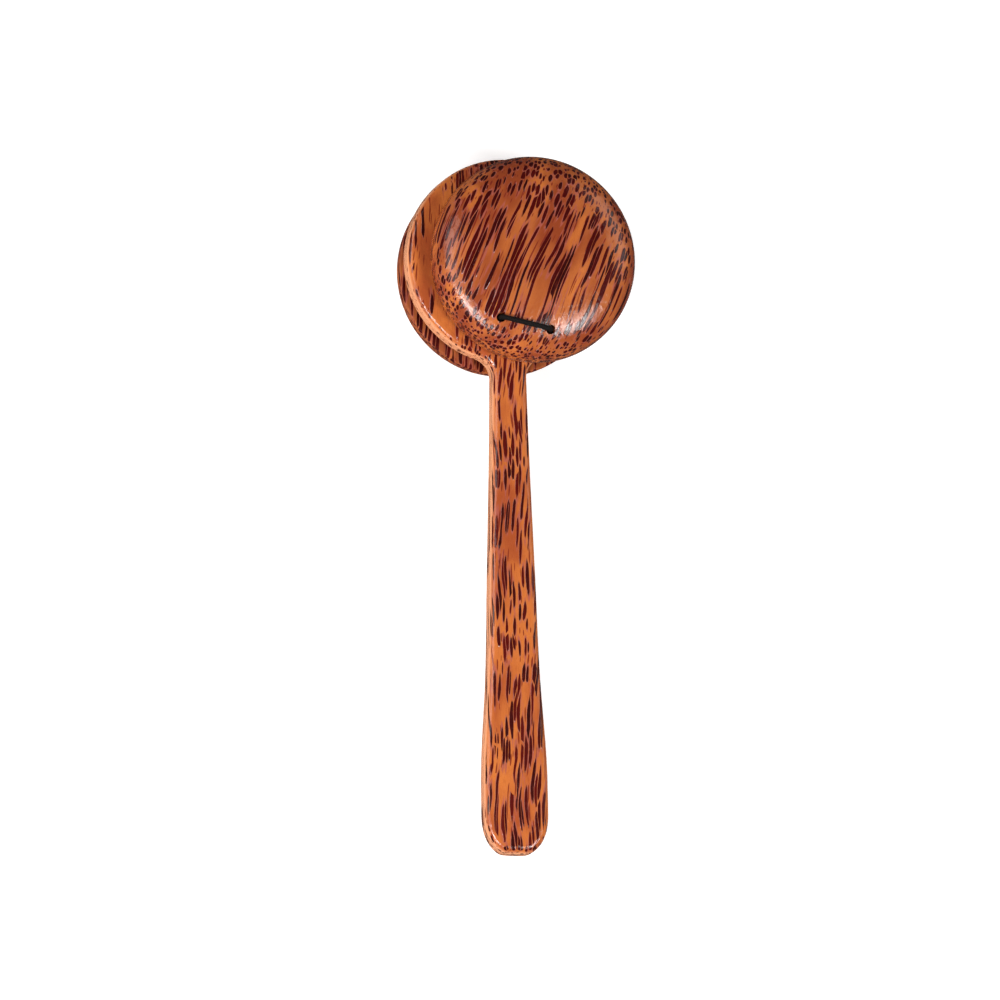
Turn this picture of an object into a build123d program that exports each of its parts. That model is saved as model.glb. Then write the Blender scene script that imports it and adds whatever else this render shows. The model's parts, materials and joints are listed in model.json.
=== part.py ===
from build123d import *
import os
from math import cos, hypot, pi, radians, sin, tan

# A castanet on a handle, in millimetres: a flat wooden paddle with a hollow wooden shell on each
# face, and one elastic cord that ties both shells to the paddle through two holes in each piece.
# It lies on a table on its back shell and the end of its handle: +Z up, +Y towards the head.

# Paddle, a round disc and a handle in one piece
paddle_thickness = 7.6
disc_radius = 29.6
butt_reach = 172.0  # from the disc's centre to the end of the handle
handle_stations = [(22.0, 9.8), (40.0, 10.2), (69.0, 11.8), (98.0, 13.7)]
handle_stations += [(124.0, 15.6), (141.5, 18.0), (156.0, 18.7)]  # distance from the centre, width
butt_stations = [(6.1, 17.2), (2.7, 13.8), (0.9, 10.2)]  # distance from the end, width
neck_round = 6.0
edge_round = 2.0

# Shells, a front one and a back one of the same shape
shell_radius = 29.8
shell_height = 12.9
shell_squareness = 3.3  # exponent of the profile: 2 is an ellipse, more is a flatter bun
hollow_radius = 26.0
hollow_depth = 8.5
hollow_squareness = 3.0
profile_steps = 8
rim_round = 0.6
rim_gap = 0.2  # between a closed shell and the paddle

# Cord and its holes
cord_diameter = 1.5
hole_radius = 1.35
paddle_tie = (0.0, -20.8)  # middle of the paddle's two holes, from the disc's centre
paddle_hole_spacing = 14.0
shell_tie_offset = 20.8  # from a shell's centre to the line of its holes
shell_hole_spacing = 14.8
stitch_lift = 1.25  # the cord's centre line above the shell beside a hole
stitch_bend = 1.5
leg_end = 1.1  # straight stretch of a leg beside the wood
bend_share = 0.45  # of the shorter run at a bend, so that two bends can share a run
knot_radius = 1.5
tail_length = 5.0
tail_turns = (75.0, 140.0)  # degrees from the shell's X axis

# How the pieces lie: a turn is anticlockwise seen from the front, and a tie is the middle of the
# shell's two holes, from the disc's centre
front_turn = -12.5
front_tie = (2.0, -20.4)
back_turn = 3.0
back_tie = (0.5, -23.1)
rest_tilt = 5.22  # the head lies higher, because the back shell is under it
disc_centre = (-2.96, 70.9, 19.27)

half_thickness = paddle_thickness / 2
cord_radius = cord_diameter / 2
tilt = radians(rest_tilt)
paddle_plane = Plane(disc_centre, x_dir=(1, 0, 0), z_dir=(0, -sin(tilt), cos(tilt)))


def superellipse(radius, height, squareness):
    # Points from the middle of the crown down to the rim
    angles = [pi / 2 * (1 - i / profile_steps) for i in range(1, profile_steps)]
    power = 2 / squareness
    points = [(radius * cos(a) ** power, height * sin(a) ** power) for a in angles]
    return [(0, height), *points, (radius, 0)]


def height_at(distance, radius, height, squareness):
    return height * (1 - (distance / radius) ** squareness) ** (1 / squareness)


def shell_plane(side, tie, turn):
    # The plane of a shell's rim, its Z outwards and its Y towards the head
    a = radians(turn)
    x_dir = paddle_plane.x_dir * cos(a) + paddle_plane.y_dir * sin(a)
    x, y = tie[0] - shell_tie_offset * sin(a), tie[1] + shell_tie_offset * cos(a)
    centre = paddle_plane.from_local_coords((x, y, side * (half_thickness + rim_gap)))
    return Plane(centre, x_dir=x_dir * side, z_dir=paddle_plane.z_dir * side)


def bend_between(first, corner, last):
    # The largest arc that the shorter of two runs allows
    turn = radians((corner - first).get_angle(last - corner))
    shorter = min((corner - first).length, (last - corner).length)
    return bend_share * shorter / tan(turn / 2)


def lay_cord(points, radii):
    # A stretch of cord along straight runs joined by tangent arcs, added to the part being built
    with BuildLine():
        route = FilletPolyline(*points, radius=radii)
    with BuildSketch(Plane(route @ 0, z_dir=route % 0)) as section:
        Circle(cord_radius)
    stretch = sweep(section.sketch, path=route, mode=Mode.PRIVATE)
    add(stretch)
    print("cord length", round(route.length, 2), "radii", [round(r, 2) for r in radii], end=" ")
    print("volume", round(stretch.volume, 2), round(pi * cord_radius**2 * route.length, 2))


def write(part, label):
    part.label = label
    export_step(part, f"parts/{label}.step")


os.makedirs("parts", exist_ok=True)
front_plane = shell_plane(1, front_tie, front_turn)
back_plane = shell_plane(-1, back_tie, back_turn)
hole_distance = hypot(shell_tie_offset, shell_hole_spacing / 2)
hole_floor = height_at(hole_distance, hollow_radius, hollow_depth, hollow_squareness)
hole_mouth = height_at(hole_distance, shell_radius, shell_height, shell_squareness)

# The paddle
with BuildPart() as paddle:
    with BuildSketch(paddle_plane):
        Circle(disc_radius)
        with BuildLine():
            side_points = [(width / 2, -distance) for distance, width in handle_stations]
            butt_points = [(width / 2, rise - butt_reach) for rise, width in butt_stations]
            flank = Spline(*side_points, tangents=[(0, -1), (0, -1)])
            Spline(flank @ 1, *butt_points, (0, -butt_reach), tangents=[(0, -1), (-1, 0)])
            Line((0, -handle_stations[0][0]), flank @ 0)
            mirror(about=Plane.YZ)
        make_face()
    extrude(amount=half_thickness, both=True)
    necks = paddle.edges().filter_by(Axis(disc_centre, paddle_plane.z_dir))
    fillet(necks, neck_round)
    faces = paddle.faces().filter_by(paddle_plane)
    fillet(faces.edges(), edge_round)
    with BuildSketch(paddle_plane):
        with Locations(paddle_tie):
            with GridLocations(paddle_hole_spacing, 0, 2, 1):
                Circle(hole_radius)
    extrude(amount=half_thickness, both=True, mode=Mode.SUBTRACT)
write(paddle.part, "paddle")


def make_shell(plane, label):
    with BuildPart() as shell:
        with BuildSketch(Plane(plane.origin, x_dir=plane.x_dir, z_dir=-plane.y_dir)):
            with BuildLine():
                crown = [(1, 0), (0, -1)]
                Spline(*superellipse(shell_radius, shell_height, shell_squareness), tangents=crown)
                Spline(*superellipse(hollow_radius, hollow_depth, hollow_squareness), tangents=crown)
                Line((hollow_radius, 0), (shell_radius, 0))
                Line((0, hollow_depth), (0, shell_height))
            make_face()
            fillet(vertices().sort_by(Axis.Y)[:2], rim_round)
        revolve(axis=Axis(plane.origin, plane.z_dir))
        with BuildSketch(plane):
            with Locations((0, -shell_tie_offset)):
                with GridLocations(shell_hole_spacing, 0, 2, 1):
                    Circle(hole_radius)
        extrude(amount=shell_height, mode=Mode.SUBTRACT)
    write(shell.part, label)


def make_stitch(plane, label):
    # Out of one hole, straight across the lower slope of the crown and into the other hole
    x, y, top = shell_hole_spacing / 2, -shell_tie_offset, hole_mouth + stitch_lift
    route = [(-x, y, hole_floor), (-x, y, top), (x, y, top), (x, y, hole_floor)]
    with BuildPart() as stitch:
        lay_cord([plane.from_local_coords(p) for p in route], [stitch_bend, stitch_bend])
    write(stitch.part, label)


def make_legs(plane, side, label, knotted):
    # From each hole of the paddle across the shell's hollow to the shell's own hole
    with BuildPart() as legs:
        for hand in (-1, 1):
            low = (hand * side * paddle_hole_spacing / 2, paddle_tie[1], side * half_thickness)
            low = paddle_plane.from_local_coords(low)
            high = (hand * shell_hole_spacing / 2, -shell_tie_offset, hole_floor)
            high = plane.from_local_coords(high)
            rise = plane.z_dir * leg_end
            points = [low, low + rise, high - rise, high]
            lay_cord(points, [bend_between(*points[i : i + 3]) for i in (0, 1)])
            if knotted and hand < 0:
                middle = (low + high) / 2
                with Locations(middle):
                    Sphere(knot_radius)
                for turn in tail_turns:
                    outward = plane.x_dir.rotate(Axis(plane.origin, plane.z_dir), turn)
                    with BuildSketch(Plane(middle, z_dir=outward)):
                        Circle(cord_radius)
                    extrude(amount=tail_length)
    write(legs.part, label)


make_shell(front_plane, "front_shell")
make_shell(back_plane, "back_shell")
make_stitch(front_plane, "cord_front_stitch")
make_stitch(back_plane, "cord_back_stitch")
make_legs(front_plane, 1, "cord_front_legs", False)
make_legs(back_plane, -1, "cord_back_legs", True)

# The two strands inside the paddle's holes
with BuildPart() as strands:
    with BuildSketch(paddle_plane):
        with Locations(paddle_tie):
            with GridLocations(paddle_hole_spacing, 0, 2, 1):
                Circle(cord_radius)
    extrude(amount=half_thickness, both=True)
write(strands.part, "cord_through_paddle")
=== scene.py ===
import bmesh
import bpy
import json
from math import cos, pi, radians, sin
from mathutils import Euler, Matrix, Vector


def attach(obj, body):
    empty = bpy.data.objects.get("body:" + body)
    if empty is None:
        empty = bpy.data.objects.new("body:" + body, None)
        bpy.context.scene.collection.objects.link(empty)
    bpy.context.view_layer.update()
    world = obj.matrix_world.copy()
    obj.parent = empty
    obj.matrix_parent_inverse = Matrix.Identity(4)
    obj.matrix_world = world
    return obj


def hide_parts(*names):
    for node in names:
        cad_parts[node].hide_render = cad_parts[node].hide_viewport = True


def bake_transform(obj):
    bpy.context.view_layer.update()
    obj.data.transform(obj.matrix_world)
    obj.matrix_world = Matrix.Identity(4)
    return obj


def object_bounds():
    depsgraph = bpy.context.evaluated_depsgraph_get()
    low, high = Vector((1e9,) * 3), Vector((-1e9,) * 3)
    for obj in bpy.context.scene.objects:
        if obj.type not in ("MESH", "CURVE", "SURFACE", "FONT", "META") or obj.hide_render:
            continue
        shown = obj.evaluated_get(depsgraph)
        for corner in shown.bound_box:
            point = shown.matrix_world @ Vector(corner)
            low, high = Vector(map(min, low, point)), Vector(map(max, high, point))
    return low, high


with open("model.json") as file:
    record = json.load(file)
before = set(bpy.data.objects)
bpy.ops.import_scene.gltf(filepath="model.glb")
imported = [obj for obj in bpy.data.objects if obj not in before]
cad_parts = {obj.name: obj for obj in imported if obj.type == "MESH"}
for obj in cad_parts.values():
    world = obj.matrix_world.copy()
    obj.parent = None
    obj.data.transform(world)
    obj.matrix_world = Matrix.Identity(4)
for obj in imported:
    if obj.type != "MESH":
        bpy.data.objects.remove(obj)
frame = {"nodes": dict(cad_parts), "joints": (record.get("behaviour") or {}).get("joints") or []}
cadBox = [list(corner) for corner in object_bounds()]
joints = {joint["name"]: joint for joint in frame["joints"]}
print("frame loaded,", len(frame["nodes"]), "nodes")

# Sizes of the CAD solids, and where they are in the frame: the paddle's own axes and each shell's
paddleShape = {"thickness": 0.0076, "tieOffset": 0.0208, "holeSpacing": 0.014}
shellShape = {
    "radius": 0.0298, "tieOffset": 0.0208, "holeSpacing": 0.0148,
    # Radius, height and squareness of the profiles
    "outside": (0.0298, 0.0129, 3.3), "hollow": (0.026, 0.0085, 3.0),
}


def axesAt(centre, x, z):
    # A matrix that turns local coordinates into the frame's
    y = z.cross(x)
    place = Matrix((x, y, z)).transposed().to_4x4()
    place.translation = centre
    return place


normal = Vector(joints["front_swivel"]["axis"]).normalized()
along = normal.cross(Vector((1, 0, 0)))
tie = Vector(joints["front_swivel"]["pos_m"])
paddlePlace = axesAt(tie + along * paddleShape["tieOffset"], Vector((1, 0, 0)), normal)


def shellPlace(name, side):
    hinge = joints[name + "_flap"]
    x = Vector(hinge["axis"]).normalized()
    rim = Vector(hinge["pos_m"])
    return axesAt(rim + (normal * side).cross(x) * shellShape["radius"], x, normal * side)


frontPlace = shellPlace("front", 1)
backPlace = shellPlace("back", -1)

# Camera, a long lens so that the view is almost parallel
camera = {
    "right": (0.9726, -0.016, 0.232),  # in the paddle's own axes
    "up": (-0.0244, 0.9851, 0.170),
    "lens": 1000,
    "distance": 7.938,
    "discAt": (0.00254, 0.06871),  # the disc's centre, right of and above the picture's centre
    "nearer": 0.018,  # how much nearer than the disc the scale is taken
}


def makeCamera():
    turned = paddlePlace.to_3x3()
    right = (turned @ Vector(camera["right"])).normalized()
    up = turned @ Vector(camera["up"])
    towards = right.cross(up).normalized()
    up = towards.cross(right)
    data = bpy.data.cameras.new("camera")
    data.lens = camera["lens"]
    data.clip_start = 0.1
    data.clip_end = 100
    held = bpy.data.objects.new("camera", data)
    bpy.context.scene.collection.objects.link(held)
    disc = paddlePlace @ Vector((0, 0, paddleShape["thickness"] / 2))
    aim = disc - right * camera["discAt"][0] - up * camera["discAt"][1] + towards * camera["nearer"]
    held.matrix_world = axesAt(aim + towards * camera["distance"], right, towards)
    bpy.context.scene.camera = held
    return towards


towards = makeCamera()
print("camera", [round(v, 3) for v in towards])

# Light: a lit table, a dim room and soft panels low on the left and right, with nothing overhead
room = {
    "colour": (1.0, 0.98, 0.96), "strength": 0.06,
    "floorSize": 40.0, "floorColour": (0.88, 0.88, 0.88), "floorGlow": 0.45,
}
panels = {  # placed from the object's middle, in metres
    "leftPanel": {"from": (-0.68, -0.53, 0.68), "size": (0.52, 0.27), "watts": 11.5},
    "rightPanel": {"from": (0.54, -0.42, 0.86), "size": (0.34, 0.25), "watts": 8.0},
    "lowPanel": {"from": (-1.05, 0.25, 0.75), "size": (0.9, 0.7), "watts": 7.0},
    "farPanel": {"from": (0.95, 0.45, 0.60), "size": (0.8, 0.5), "watts": 2.2},
}


def makeLights():
    world = bpy.data.worlds.new("whiteRoom")
    world.use_nodes = True
    back = world.node_tree.nodes["Background"]
    back.inputs["Color"].default_value = (*room["colour"], 1)
    back.inputs["Strength"].default_value = room["strength"]
    bpy.context.scene.world = world
    middle = (Vector(cadBox[0]) + Vector(cadBox[1])) / 2
    for name, panel in panels.items():
        data = bpy.data.lights.new(name, "AREA")
        data.shape = "RECTANGLE"
        data.size, data.size_y = panel["size"]
        data.energy = panel["watts"]
        lamp = bpy.data.objects.new(name, data)
        lamp.visible_camera = False
        bpy.context.scene.collection.objects.link(lamp)
        away = Vector(panel["from"])
        lamp.location = middle + away
        lamp.rotation_mode = "QUATERNION"
        lamp.rotation_quaternion = away.to_track_quat("Z", "Y")
    scene = bpy.context.scene
    scene.view_settings.view_transform = "Standard"
    scene.view_settings.look = "None"


def makeFloor():
    bm = bmesh.new()
    bmesh.ops.create_grid(bm, x_segments=1, y_segments=1, size=room["floorSize"] / 2)
    mesh = bpy.data.meshes.new("floor")
    bm.to_mesh(mesh)
    bm.free()
    floor = bpy.data.objects.new("floor", mesh)
    bpy.context.scene.collection.objects.link(floor)
    material = bpy.data.materials.new("paper")
    material.use_nodes = True
    paint = material.node_tree.nodes["Principled BSDF"]
    paint.inputs["Base Color"].default_value = (*room["floorColour"], 1)
    paint.inputs["Roughness"].default_value = 0.9
    paint.inputs["Specular IOR Level"].default_value = 0.1
    paint.inputs["Emission Color"].default_value = (1, 1, 1, 1)
    paint.inputs["Emission Strength"].default_value = room["floorGlow"]
    mesh.materials.append(material)
    floor.visible_glossy = False


makeLights()
makeFloor()
print("lights and floor")


# Sizes in millimetres of the wood's patterns, across the fibres and along them
patterns = {
    "slow": (22, 34), "quick": (3.0, 13),  # how the fibres wander
    "swelling": 1.8, "crowd": (9.0, 60), "ragged": (0.35, 1.6), "veins": (0.3, 2.2),
    "drift": (10, 26), "glow": (6, 14), "lines": (0.28, 9.0), "specks": (0.3, 0.5),
    "patchy": (1.2, 7.0), "waves": (1.6, 2.2),
}
# Where each part of a fibre fades out, in fibre radii from its middle
fibreRadii = {
    "core": (0.84, 1.08), "fineCore": (0.8, 1.15), "sheath": (1.15, 1.6), "absent": 9.0,
    "gap": (0.02, 0.11),  # in cells from the border between two fibres
}


# Palm wood: dark fibres that run through the solid, so that they show as long streaks where the
# surface follows the grain and as dots where it slopes across it
def palmWood(name, place, wood):
    material = bpy.data.materials.new(name)
    material.use_nodes = True
    tree = material.node_tree
    surface = tree.nodes["Principled BSDF"]

    def node(kind, settings=None, **sockets):
        made = tree.nodes.new("ShaderNode" + kind)
        for key, value in (settings or {}).items():
            setattr(made, key, value)
        for key, value in sockets.items():
            # A socket goes by its name, or by i and its number
            numbered = key[0] == "i" and key[1:].isdigit()
            socket = made.inputs[int(key[1:]) if numbered else key]
            if isinstance(value, bpy.types.NodeSocket):
                tree.links.new(value, socket)
            else:
                socket.default_value = value
        return made

    def sums(operation, first, second=0.0, third=0.0):
        return node("Math", {"operation": operation}, i0=first, i1=second, i2=third).outputs[0]

    def vectors(operation, first, second=(0, 0, 0)):
        return node("VectorMath", {"operation": operation}, i0=first, i1=second).outputs[0]

    def stretched(source, across, lengthwise):
        # Coordinates for a pattern with one size across the fibres and another along them
        return vectors("MULTIPLY", source, (1 / across, 1 / lengthwise, 1 / across))

    def cloud(source, detail=2.0, roughness=0.5, colour=False):
        made = node("TexNoise", Vector=source, Scale=1.0, Detail=detail, Roughness=roughness)
        return made.outputs["Color" if colour else "Fac"]

    def ramp(value, low, high, toLow=0.0, toHigh=1.0):
        settings = {"interpolation_type": "SMOOTHSTEP"}
        made = node("MapRange", settings, i0=value, i1=low, i2=high, i3=toLow, i4=toHigh)
        return made.outputs[0]

    def mixed(share, first, second):
        made = node("Mix", {"data_type": "RGBA"})
        for index, value in ((0, share), (6, first), (7, second)):
            if isinstance(value, bpy.types.NodeSocket):
                tree.links.new(value, made.inputs[index])
            else:
                plain = (*value, 1) if isinstance(value, tuple) else value
                made.inputs[index].default_value = plain
        return made.outputs[2]

    def millimetres(axes):
        made = node("Mapping", {"vector_type": "TEXTURE"}, Vector=coordinates)
        made.inputs["Location"].default_value = axes.translation
        made.inputs["Rotation"].default_value = axes.to_euler("XYZ")
        made.inputs["Scale"].default_value = (0.001, 0.001, 0.001)
        return made.outputs[0]

    # Millimetres in the piece's own axes, and in the grain's, whose Y is along the fibres
    texture = node("TexCoord")
    coordinates = texture.outputs["Object"]
    flat = millimetres(place)
    turned = place @ Euler([radians(a) for a in wood["grain"]], "XYZ").to_matrix().to_4x4()
    grain = vectors("ADD", millimetres(turned), wood["offset"])

    # Fibres wander together over centimetres and apart over millimetres
    half = (0.5, 0.5, 0.5)
    bent = grain
    for pace in ("slow", "quick"):
        wander = cloud(stretched(grain, *patterns[pace]), 1.0, colour=True)
        reach = (wood[pace], 0, wood[pace] * wood["level"])
        wander = vectors("MULTIPLY", vectors("SUBTRACT", wander, half), reach)
        bent = vectors("ADD", bent, wander)
    split = node("SeparateXYZ", Vector=bent)
    section = node("CombineXYZ", X=split.outputs[0], Y=split.outputs[2]).outputs[0]

    def fibres(spacing, thick, thin, share, shift):
        # How far the nearest fibre's middle is, in fibre radii, and that fibre's number
        def voronoi(feature):
            kind = {"voronoi_dimensions": "2D", "feature": feature}
            where = vectors("ADD", section, shift)
            return node("TexVoronoi", kind, Vector=where, Scale=1 / spacing, Randomness=0.85)

        cells = voronoi("F1")
        number = node("SeparateColor", Color=cells.outputs["Color"])
        edge = voronoi("DISTANCE_TO_EDGE").outputs["Distance"]
        radius = ramp(number.outputs[0], 0, 1, thin / spacing, thick / spacing)
        swelling = stretched(bent, patterns["swelling"], wood["swell"])
        swelling = cloud(vectors("ADD", swelling, cells.outputs["Color"]), 0.0)
        radius = sums("MULTIPLY", radius, ramp(swelling, 0.33, 0.56, wood["thinnest"], 1.0))
        left = sums("SUBTRACT", 1.0, sums("LESS_THAN", number.outputs[1], share))
        away = sums("DIVIDE", cells.outputs["Distance"], sums("MAXIMUM", radius, 0.001))
        away = sums("ADD", away, sums("MULTIPLY", left, fibreRadii["absent"]))
        away = sums("MAXIMUM", away, ramp(edge, *fibreRadii["gap"], 1.25, 0.0))
        return away, number.outputs[2]

    # How many of the fibres there are: fewer on a bare side and on the flanks
    crowd = cloud(stretched(grain, *patterns["crowd"]), 1.0)
    share = ramp(crowd, 0.35, 0.65, wood["fewest"], wood["most"])
    sideways = node("SeparateXYZ", Vector=flat).outputs[0]
    share = sums("MULTIPLY", share, ramp(sideways, *wood["sparse"], wood["bare"], 1.0))
    # How much a face turns sideways, also used below for the painted sheen on the edges
    facing = node("VectorMath", {"operation": "DOT_PRODUCT"}, i0=texture.outputs["Normal"])
    facing.inputs[1].default_value = place.col[2].xyz
    flank = ramp(sums("ABSOLUTE", facing.outputs["Value"]), 0.2, 0.8, wood["flank"], 0.0)
    share = sums("MULTIPLY", share, sums("SUBTRACT", 1.0, flank))
    away, number = fibres(wood["spacing"], wood["thick"], wood["thin"], share, (0, 0, 0))
    fineSizes = (wood["fineSpacing"], wood["fineThick"], wood["fineThin"])
    fine = fibres(*fineSizes, wood["fineShare"], (7, 3, 0))[0]
    ragged = sums("SUBTRACT", cloud(stretched(grain, *patterns["ragged"]), 1.0), 0.5)
    ragged = sums("MULTIPLY", ragged, wood["ragged"])
    away = sums("ADD", away, ragged)
    core = ramp(away, *fibreRadii["core"], 1.0, 0.0)
    sheath = ramp(away, *fibreRadii["sheath"], 1.0, 0.0)
    fineCore = ramp(sums("ADD", fine, ragged), *fibreRadii["fineCore"], wood["fineDepth"], 0.0)

    # The pale wood between: orange to brown, with fine lines along the grain
    drift = cloud(stretched(grain, *patterns["drift"]), 2.0)
    base = mixed(ramp(drift, 0.36, 0.62), wood["brown"], wood["orange"])
    glow = cloud(vectors("ADD", stretched(grain, *patterns["glow"]), (31, 5, 9)), 1.0)
    base = mixed(ramp(glow, 0.54, 0.68, 0.0, 0.6), base, wood["bright"])
    lines = cloud(stretched(grain, *patterns["lines"]), 2.0, 0.6)
    base = mixed(ramp(lines, 0.5, 0.75, 0.0, 0.32), base, wood["lines"])
    specks = cloud(stretched(grain, *patterns["specks"]), 2.0, 0.7)
    base = mixed(ramp(specks, 0.55, 0.78, 0.0, 0.3), base, wood["lines"])
    patchy = cloud(stretched(grain, *patterns["patchy"]), 1.0)
    stained = sums("MULTIPLY", sheath, ramp(patchy, 0.42, 0.6, 0.1, wood["sheathShare"]))
    base = mixed(stained, base, wood["sheath"])
    # Faces that turn sideways, the edges, mixed towards pale: a painted sheen that stands in for
    # the light on the edges
    base = mixed(flank, base, wood["pale"])
    dark = mixed(number, wood["maroon"], wood["black"])
    veins = cloud(stretched(grain, *patterns["veins"]), 2.0)
    dark = mixed(ramp(veins, 0.55, 0.75, 0.0, 0.35), dark, wood["maroonLight"])
    base = mixed(fineCore, base, wood["maroonLight"])
    tree.links.new(mixed(core, base, dark), surface.inputs["Base Color"])

    # Lacquer over it, with the fibres standing a little proud
    rough = ramp(core, 0, 1, wood["gloss"], wood["gloss"] + 0.06)
    rough = sums("ADD", rough, sums("MULTIPLY", specks, 0.12))
    tree.links.new(rough, surface.inputs["Roughness"])
    surface.inputs["Specular IOR Level"].default_value = wood["shine"]
    surface.inputs["Coat Weight"].default_value = wood["coat"]
    surface.inputs["Coat Roughness"].default_value = wood["coatRoughness"]
    waves = cloud(stretched(grain, *patterns["waves"]), 1.0)
    tall = sums("ADD", sums("MULTIPLY", core, 0.7), sums("MULTIPLY", specks, 0.5))
    tall = sums("ADD", tall, sums("MULTIPLY", waves, 1.2))
    for socket, height in (("Normal", wood["relief"]), ("Coat Normal", wood["coatRelief"])):
        bump = node("Bump", Strength=1.0, Distance=height, Height=tall)
        tree.links.new(bump.outputs[0], surface.inputs[socket])
    return material


palm = {
    # Colours
    "orange": (0.42, 0.112, 0.028),
    "brown": (0.24, 0.044, 0.013),
    "bright": (0.55, 0.155, 0.032),
    "lines": (0.26, 0.045, 0.016),
    "sheath": (0.33, 0.080, 0.058),
    "maroon": (0.060, 0.0012, 0.0010),
    "black": (0.022, 0.0010, 0.0010),
    "maroonLight": (0.16, 0.018, 0.009),
    # Pale: a painted sheen for faces that turn sideways
    "pale": (0.78, 0.36, 0.19),
    # How the fibres run and how far apart they are, in millimetres
    "slow": 5.0, "quick": 1.0, "level": 0.45, "swell": 14.0, "thinnest": 0.5, "ragged": 0.25,
    "spacing": 1.35, "thick": 0.70, "thin": 0.44,
    "fineSpacing": 1.05, "fineThick": 0.26, "fineThin": 0.12,
    # Shares of them, and where across the piece they thin out (far outside it for nowhere); flank
    # also sets how strongly faces that turn sideways are painted pale, a painted sheen
    "fewest": 0.93, "most": 1.0, "sparse": (-99.0, -98.0), "bare": 0.4, "flank": 0.0,
    "fineShare": 0.8, "fineDepth": 0.9, "sheathShare": 0.8,
    # Finish, and the relief in metres
    "shine": 0.06, "gloss": 0.20, "coat": 0.75, "coatRoughness": 0.10,
    "relief": 0.00015, "coatRelief": 0.00010,
}
shellWood = palmWood("shellWood", frontPlace, palm | {"grain": (4, 0, -10), "offset": (0, 0, 40)})
# The back shell: the same palm wood with its orange and brown painted darker, painted shade for the
# shade it lies in behind the paddle; its lacquer is duller
backWoodPaintedShade = palmWood("backWoodPaintedShade", backPlace, palm | {
    "grain": (3, 0, 4), "offset": (60, 11, 17),
    "orange": (0.31, 0.085, 0.026), "brown": (0.20, 0.046, 0.016),
    "shine": 0.08, "coat": 0.0, "gloss": 0.35,
})
# The paddle: its edges painted pale as a painted sheen (flank), and fewer fibres on its left side
# (sparse)
paddleWood = palmWood("paddleWood", paddlePlace, palm | {
    "grain": (-6, 0, -2), "offset": (20, 0, 90), "sparse": (-22.0, -10.0), "flank": 0.75,
    "swell": 11.0, "spacing": 1.18, "thick": 0.64, "thin": 0.42, "fewest": 0.94,
    "maroon": (0.085, 0.003, 0.0015), "orange": (0.50, 0.135, 0.030), "brown": (0.33, 0.066, 0.018),
})
for nodeName, slotName, material in (
    ("paddle", "paddle_wood", paddleWood),
    ("front_shell", "shell_wood", shellWood),
    ("back_shell", "shell_wood", backWoodPaintedShade),
):
    piece = frame["nodes"][nodeName]
    piece.data.materials.clear()
    piece.data.materials.append(material)
print("wood")


# Cord: black braided elastic, one loop through the paddle and both shells
cord = {
    "radius": 0.00075,
    "lift": 0.00116,  # above the shell's surface at a hole
    "lean": 0.0002,  # how far towards the head it lies in the paddle's holes
    "turnAt": 0.0025,  # how far from its corner a bend begins
    "pitch": 0.0042,  # one turn of a braid strand
    "strands": 6,
    "relief": 0.00012,  # of the braid
    "ringSteps": 5, "lengthSteps": 10,  # how finely the tube is divided
    "legRise": 0.0011,  # how far a leg leaves the wood straight
}
# The cord's black: lighter on the braid's crowns and darker in the gaps between its strands,
# painted shade in the braid's recesses
cordColourAndPaintedShade = {"crown": (0.006, 0.004, 0.0035), "gap": (0.002, 0.001, 0.001)}


def shellLevel(distance, radius, height, squareness):
    return height * (1 - (distance / radius) ** squareness) ** (1 / squareness)


def cordMaterial():
    material = bpy.data.materials.new("blackElastic")
    material.use_nodes = True
    tree = material.node_tree
    surface = tree.nodes["Principled BSDF"]

    def node(kind, settings, *values):
        made = tree.nodes.new("ShaderNode" + kind)
        for key, value in settings.items():
            setattr(made, key, value)
        for index, value in enumerate(values):
            if isinstance(value, bpy.types.NodeSocket):
                tree.links.new(value, made.inputs[index])
            elif value is not None:
                made.inputs[index].default_value = value
        return made.outputs[0]

    # The map's U is metres along the cord and its V goes once round
    coordinates = tree.nodes.new("ShaderNodeUVMap")
    coordinates.uv_map = "UVMap"
    split = tree.nodes.new("ShaderNodeSeparateXYZ")
    tree.links.new(coordinates.outputs[0], split.inputs[0])
    around = node("Math", {"operation": "MULTIPLY"}, split.outputs[1], 2 * pi * cord["strands"])
    rate = 2 * pi * cord["strands"] / cord["pitch"]
    onward = node("Math", {"operation": "MULTIPLY"}, split.outputs[0], rate)
    waves = []
    for operation in ("ADD", "SUBTRACT"):
        phase = node("Math", {"operation": operation}, around, onward)
        waves.append(node("Math", {"operation": "SINE"}, phase))
    braid = node("Math", {"operation": "MAXIMUM"}, *waves)
    # Lighter on the strands' crowns and darker between them: painted shade in the braid's gaps
    shade = node("MapRange", {}, braid, -0.6, 0.9, 0.0, 1.0)
    mix = tree.nodes.new("ShaderNodeMix")
    mix.data_type = "RGBA"
    tree.links.new(shade, mix.inputs[0])
    mix.inputs[6].default_value = (*cordColourAndPaintedShade["gap"], 1)
    mix.inputs[7].default_value = (*cordColourAndPaintedShade["crown"], 1)
    tree.links.new(mix.outputs[2], surface.inputs["Base Color"])
    bump = tree.nodes.new("ShaderNodeBump")
    bump.inputs["Strength"].default_value = 0.8
    bump.inputs["Distance"].default_value = cord["relief"]
    tree.links.new(braid, bump.inputs["Height"])
    tree.links.new(bump.outputs[0], surface.inputs["Normal"])
    rough = node("MapRange", {}, braid, -0.6, 0.9, 0.8, 0.55)
    tree.links.new(rough, surface.inputs["Roughness"])
    surface.inputs["Specular IOR Level"].default_value = 0.16
    return material


elastic = cordMaterial()


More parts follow.
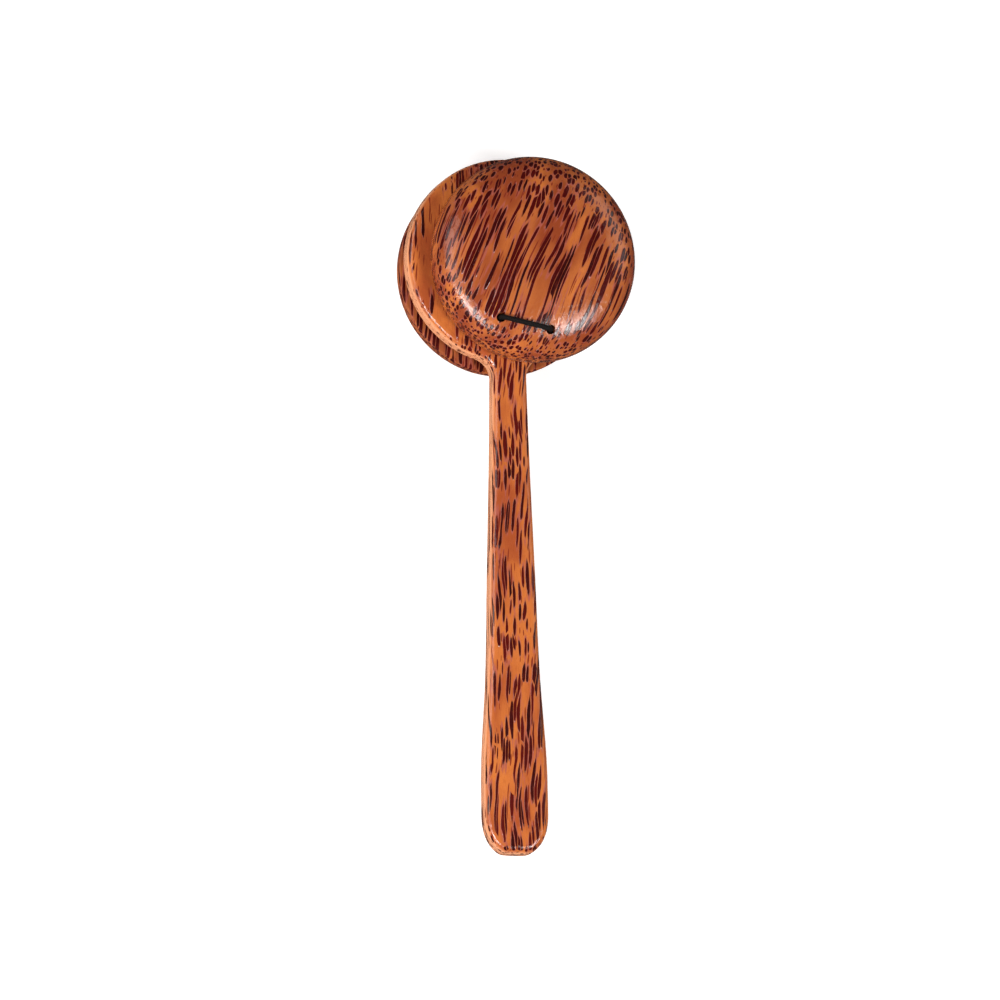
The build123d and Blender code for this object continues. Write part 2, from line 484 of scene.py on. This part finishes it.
def cordPiece(name, routes, bodies, replaced, blended=None, closed=0):
    # One mesh of tubes, each along its own smooth route; the first few may be closed loops
    joined = bmesh.new()
    for index, (route, radius) in enumerate(routes):
        curve = bpy.data.curves.new(name, "CURVE")
        curve.dimensions = "3D"
        curve.bevel_depth = radius
        curve.bevel_resolution = cord["ringSteps"]
        curve.resolution_u = cord["lengthSteps"]
        curve.use_fill_caps = False
        spline = curve.splines.new("NURBS")
        spline.points.add(len(route) - 1)
        for point, place in zip(spline.points, route):
            point.co = (*place, 1)
        spline.order_u = 3
        spline.use_endpoint_u = index >= closed
        spline.use_cyclic_u = index < closed
        length = spline.calc_length()
        held = bpy.data.objects.new(name, curve)
        mesh = bpy.data.meshes.new_from_object(held)
        for corner in mesh.uv_layers["UVMap"].data:
            corner.uv.x *= length
        joined.from_mesh(mesh)
        bpy.data.objects.remove(held)
        bpy.data.meshes.remove(mesh)
    rims = [edge for edge in joined.edges if edge.is_boundary]
    bmesh.ops.holes_fill(joined, edges=rims, sides=0)
    for face in joined.faces:
        face.smooth = True
    mesh = bpy.data.meshes.new(name)
    joined.to_mesh(mesh)
    joined.free()
    mesh.materials.append(elastic)
    piece = bpy.data.objects.new(name, mesh)
    bpy.context.scene.collection.objects.link(piece)
    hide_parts(replaced)
    if blended:
        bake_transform(piece)
    else:
        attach(piece, bodies)


holeDistance = (shellShape["tieOffset"] ** 2 + (shellShape["holeSpacing"] / 2) ** 2) ** 0.5
holeFloor = shellLevel(holeDistance, *shellShape["hollow"])
holeMouth = shellLevel(holeDistance, *shellShape["outside"])
halfPaddle = paddleShape["thickness"] / 2


def makeStitch(name, place):
    x, y, top = shellShape["holeSpacing"] / 2, -shellShape["tieOffset"], holeMouth + cord["lift"]
    bend = cord["turnAt"]
    route = [(-x, y, holeFloor), (-x, y, top - bend), (-x, y, top), (bend - x, y, top)]
    route += [(x - bend, y, top), (x, y, top), (x, y, top - bend), (x, y, holeFloor)]
    stretch = ([place @ Vector(point) for point in route], cord["radius"])
    cordPiece(name + "Stitch", [stretch], name + "_shell", "cord_" + name + "_stitch")


def makeLegs(name, place, side):
    # Lower and upper halves: the lower one from the paddle's holes to the middle, the upper one
    # from the middle to the shell's holes
    routes = []
    for hand in (-1, 1):
        x = hand * side * paddleShape["holeSpacing"] / 2
        low = paddlePlace @ Vector((x, cord["lean"] - paddleShape["tieOffset"], side * halfPaddle))
        x = hand * shellShape["holeSpacing"] / 2
        high = place @ Vector((x, -shellShape["tieOffset"], holeFloor))
        rise = normal * side * cord["legRise"]
        middle = (low + high) / 2
        routes.append(([low, low + rise, middle], [middle, high - rise, high]))
    depth = (routes[0][1][-1] - routes[0][0][0]).dot(normal * side)
    foot = tie + normal * side * halfPaddle
    waist = foot + normal * side * depth / 2
    head = foot + normal * side * depth
    node = "cord_" + name + "_legs"
    lower = [(pair[0], cord["radius"]) for pair in routes]
    upper = [(pair[1], cord["radius"]) for pair in routes]
    cordPiece(name + "LegsLower", lower, ("paddle", name + "_cord"), node, (foot, waist))
    cordPiece(name + "LegsUpper", upper, (name + "_cord", name + "_shell"), node, (waist, head))
    return routes[0][0][-1]


makeStitch("front", frontPlace)
makeStitch("back", backPlace)
makeLegs("front", frontPlace, 1)
knotAt = makeLegs("back", backPlace, -1)


def makeKnot(middle, place):
    # The loop's two ends, tied in the back shell's hollow: a three-lobed turn and two cut tails
    knot = {"points": 12, "lobes": 3, "size": 0.00052, "rise": 1.3, "radius": 0.0006}
    tails = {"turns": (75, 140), "length": 0.0052, "sag": 0.0006, "radius": cord["radius"] * 0.95}
    turned = place.to_3x3()
    loop = []
    for step in range(knot["points"]):
        a = 2 * pi * step / knot["points"]
        lobe = knot["lobes"] * a
        reach = 2 + cos(lobe)
        offset = Vector((reach * cos(2 * a), reach * sin(2 * a), knot["rise"] * sin(lobe)))
        loop.append(middle + turned @ offset * knot["size"])
    routes = [(loop, knot["radius"])]
    for turn in tails["turns"]:
        away = turned @ Vector((cos(radians(turn)), sin(radians(turn)), 0))
        tail = [middle + away * tails["length"] * share for share in (0.15, 0.6, 1.0)]
        tail[1] += turned @ Vector((0, 0, tails["sag"]))
        routes.append((tail, tails["radius"]))
    cordPiece("knot", routes, "back_cord", "cord_back_legs", closed=1)


makeKnot(knotAt, backPlace)
strands = []
for x in (-paddleShape["holeSpacing"] / 2, paddleShape["holeSpacing"] / 2):
    y = cord["lean"] - paddleShape["tieOffset"]
    ends = [paddlePlace @ Vector((x, y, z)) for z in (-halfPaddle, 0, halfPaddle)]
    strands.append((ends, cord["radius"]))
cordPiece("strandsInPaddle", strands, "paddle", "cord_through_paddle")
print("cord")
